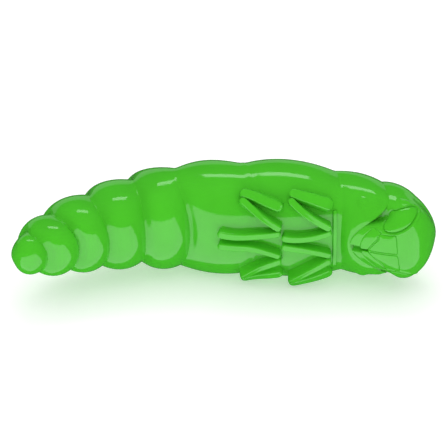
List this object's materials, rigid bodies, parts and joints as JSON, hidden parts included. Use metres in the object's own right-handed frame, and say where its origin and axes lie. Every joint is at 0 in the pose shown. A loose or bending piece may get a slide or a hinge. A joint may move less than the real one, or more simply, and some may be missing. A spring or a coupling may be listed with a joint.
{
  "type": "soft plastic grub bait",
  "caption": "Curled, segmented soft-plastic grub lure with folded legs and an insect face; it flexes at its moulded folds.",
  "frame": {"origin": "centre of the bounding box in plan, at the floor under the resting flank", "axes": "+X tail to head, +Y the back, -Y the belly with the legs, +Z out of the upper flank; the bait lies on its flank"},
  "size_m": [0.0379, 0.012, 0.0109],
  "materials": {
    "lime_plastic": "gloss",
    "leg_plastic": "gloss",
    "face_plastic": "gloss",
    "fold_plastic": "satin"
  },
  "bodies": {
    "thorax": {"thorax_lobe": "lime_plastic", "belly_strip": "leg_plastic", "rear_leg_femur_left": "leg_plastic", "rear_leg_femur_right": "leg_plastic", "rear_leg_tibia_left": "leg_plastic", "rear_leg_tibia_right": "leg_plastic", "rear_leg_tarsus_left": "leg_plastic", "rear_leg_tarsus_right": "leg_plastic", "front_leg_femur_left": "leg_plastic", "front_leg_femur_right": "leg_plastic", "front_leg_tibia_left": "leg_plastic", "front_leg_tibia_right": "leg_plastic", "front_leg_tarsus_left": "leg_plastic", "front_leg_tarsus_right": "leg_plastic", "neck_6_7": "fold_plastic", "neck_7_8": "fold_plastic"},
    "abdomen_6": {"abdomen_lobe_6": "lime_plastic", "neck_5_6": "fold_plastic"},
    "abdomen_5": {"abdomen_lobe_5": "lime_plastic"},
    "fold_4_5": {"neck_4_5": "fold_plastic"},
    "abdomen_4": {"abdomen_lobe_4": "lime_plastic"},
    "fold_3_4": {"neck_3_4": "fold_plastic"},
    "abdomen_3": {"abdomen_lobe_3": "lime_plastic"},
    "fold_2_3": {"neck_2_3": "fold_plastic"},
    "abdomen_2": {"abdomen_lobe_2": "lime_plastic", "neck_1_2": "fold_plastic"},
    "tail": {"tail_tip": "lime_plastic"},
    "shoulder": {"shoulder_lobe": "lime_plastic", "neck_8_9": "fold_plastic"},
    "head": {"head_capsule": "lime_plastic", "collar": "lime_plastic", "eye_left": "face_plastic", "eye_right": "face_plastic", "mandible_left": "face_plastic", "mandible_right": "face_plastic", "palp_left": "face_plastic", "palp_right": "face_plastic"}
  },
  "joints": [
    {"name": "curl_6_7", "type": "hinge", "parent": "thorax", "child": "abdomen_6", "pos_m": [0.00171, 0.00145, 0.0053], "axis": [0, 0, 1], "range_deg": [-4, 4], "stiffness_Nm_per_rad": 0.004},
    {"name": "curl_5_6", "type": "hinge", "parent": "abdomen_6", "child": "abdomen_5", "pos_m": [-0.00424, 0.00176, 0.0053], "axis": [0, 0, 1], "range_deg": [-8, 8], "stiffness_Nm_per_rad": 0.002},
    {"name": "curl_4_5", "type": "hinge", "parent": "abdomen_5", "child": "fold_4_5", "pos_m": [-0.00836, 0.00103, 0.0053], "axis": [0, 0, 1], "range_deg": [-10, 10], "stiffness_Nm_per_rad": 0.0015},
    {"name": "sway_4_5", "type": "hinge", "parent": "fold_4_5", "child": "abdomen_4", "pos_m": [-0.00836, 0.00103, 0.0053], "axis": [-0.3948, 0.9188, 0], "range_deg": [-8, 8], "stiffness_Nm_per_rad": 0.0015},
    {"name": "curl_3_4", "type": "hinge", "parent": "abdomen_4", "child": "fold_3_4", "pos_m": [-0.01199, -0.00048, 0.0053], "axis": [0, 0, 1], "range_deg": [-12, 12], "stiffness_Nm_per_rad": 0.001},
    {"name": "sway_3_4", "type": "hinge", "parent": "fold_3_4", "child": "abdomen_3", "pos_m": [-0.01199, -0.00048, 0.0053], "axis": [-0.5194, 0.8545, 0], "range_deg": [-8, 8], "stiffness_Nm_per_rad": 0.001},
    {"name": "curl_2_3", "type": "hinge", "parent": "abdomen_3", "child": "fold_2_3", "pos_m": [-0.01498, -0.00234, 0.0053], "axis": [0, 0, 1], "range_deg": [-12, 12], "stiffness_Nm_per_rad": 0.0007},
    {"name": "sway_2_3", "type": "hinge", "parent": "fold_2_3", "child": "abdomen_2", "pos_m": [-0.01498, -0.00234, 0.0053], "axis": [-0.7768, 0.6298, 0], "range_deg": [-8, 8], "stiffness_Nm_per_rad": 0.0007},
    {"name": "curl_1_2", "type": "hinge", "parent": "abdomen_2", "child": "tail", "pos_m": [-0.01725, -0.00407, 0.0053], "axis": [0, 0, 1], "range_deg": [-12, 12], "stiffness_Nm_per_rad": 0.0004},
    {"name": "curl_7_8", "type": "hinge", "parent": "thorax", "child": "shoulder", "pos_m": [0.00953, 0.0014, 0.0053], "axis": [0, 0, -1], "range_deg": [-6, 6], "stiffness_Nm_per_rad": 0.003},
    {"name": "nod_8_9", "type": "hinge", "parent": "shoulder", "child": "head", "pos_m": [0.01337, -0.00036, 0.0053], "axis": [0, 0, -1], "range_deg": [-5, 5], "stiffness_Nm_per_rad": 0.002}
  ]
}
